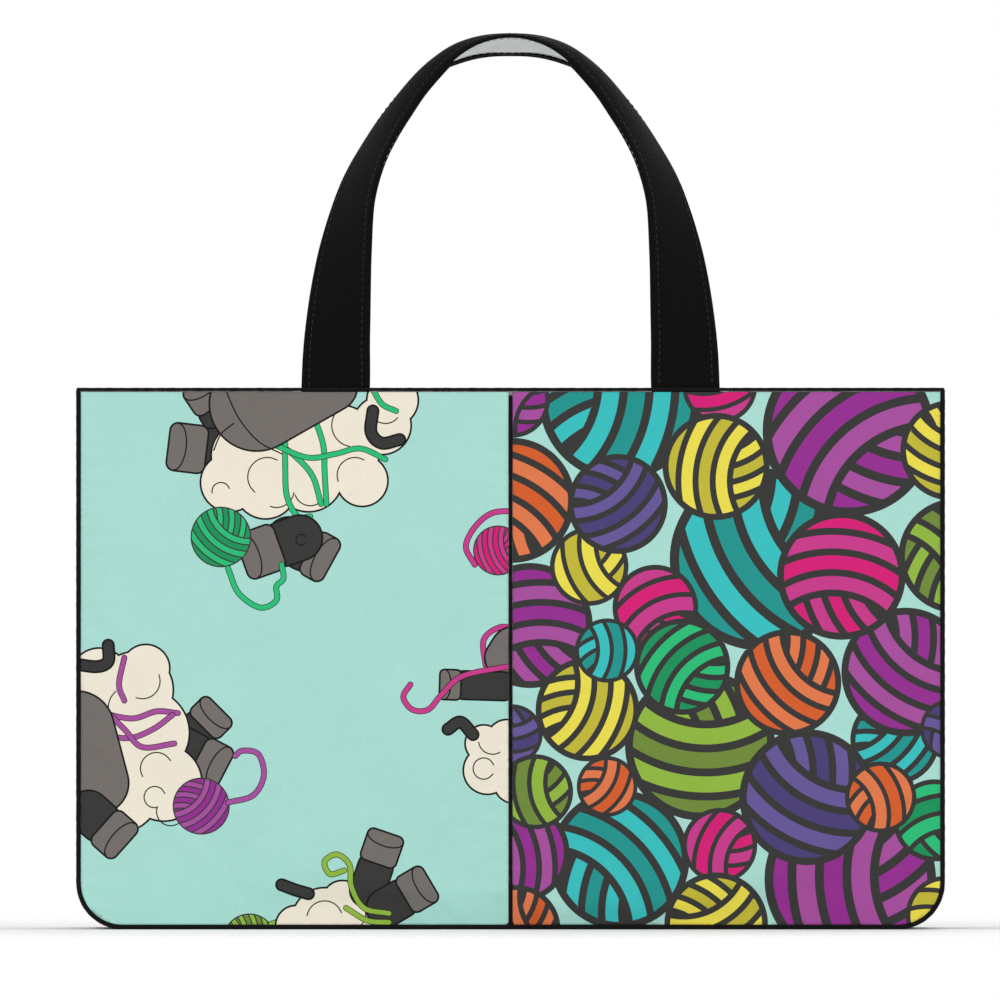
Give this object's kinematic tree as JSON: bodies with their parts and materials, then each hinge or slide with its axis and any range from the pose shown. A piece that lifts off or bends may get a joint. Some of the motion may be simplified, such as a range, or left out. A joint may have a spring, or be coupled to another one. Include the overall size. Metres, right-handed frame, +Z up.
{
  "type": "knitting bag",
  "caption": "Wide gusseted fabric bag for yarn and needles, printed in two halves, with rounded lower corners, piped seams, an inner pocket and two swinging webbing handles.",
  "frame": {"origin": "on the floor, at the centre of the bag's base", "axes": "+Z up; X along the bag's width; the back wall faces -Y and the front wall, with the inner pocket, is at +Y"},
  "size_m": [0.486, 0.1492, 0.5009],
  "materials": {
    "mint_print": "matt printed polyester canvas",
    "yarn_print": "matt printed polyester canvas",
    "black_canvas": "matt woven canvas",
    "black_webbing": "ribbed woven webbing",
    "grey_lining": "plain weave cotton",
    "grey_tape": "twill tape",
    "foam": "felted foam interlining",
    "board": "stiff bag board"
  },
  "bodies": {
    "bag": {"back_panel_left": "mint_print", "back_panel_right": "yarn_print", "back_seam_piping": "black_canvas", "back_edge_piping": "black_canvas", "back_interlining": "foam", "back_lining": "grey_lining", "back_handle_end_left": "black_webbing", "back_handle_end_right": "black_webbing", "front_panel_left": "mint_print", "front_panel_right": "yarn_print", "front_seam_piping": "black_canvas", "front_edge_piping": "black_canvas", "front_interlining": "foam", "front_lining": "grey_lining", "front_handle_end_left": "black_webbing", "front_handle_end_right": "black_webbing", "mouth_piping": "black_canvas", "gusset_bottom": "black_canvas", "gusset_left": "black_canvas", "gusset_right": "black_canvas", "interlining_left": "foam", "interlining_right": "foam", "base_board": "board", "lining_left": "grey_lining", "lining_right": "grey_lining", "lining_bottom": "grey_lining", "inner_pocket": "grey_lining", "pocket_binding": "black_canvas"},
    "back_handle": {"back_handle_webbing": "black_webbing", "back_handle_backing": "grey_tape"},
    "front_handle": {"front_handle_webbing": "black_webbing", "front_handle_backing": "grey_tape"}
  },
  "joints": [
    {"name": "back_handle_swing", "type": "hinge", "parent": "bag", "child": "back_handle", "pos_m": [0, -0.0627, 0.3025], "axis": [1, 0, 0], "range_deg": [-10, 165]},
    {"name": "front_handle_swing", "type": "hinge", "parent": "bag", "child": "front_handle", "pos_m": [0, 0.0627, 0.3025], "axis": [-1, 0, 0], "range_deg": [-10, 165]}
  ]
}
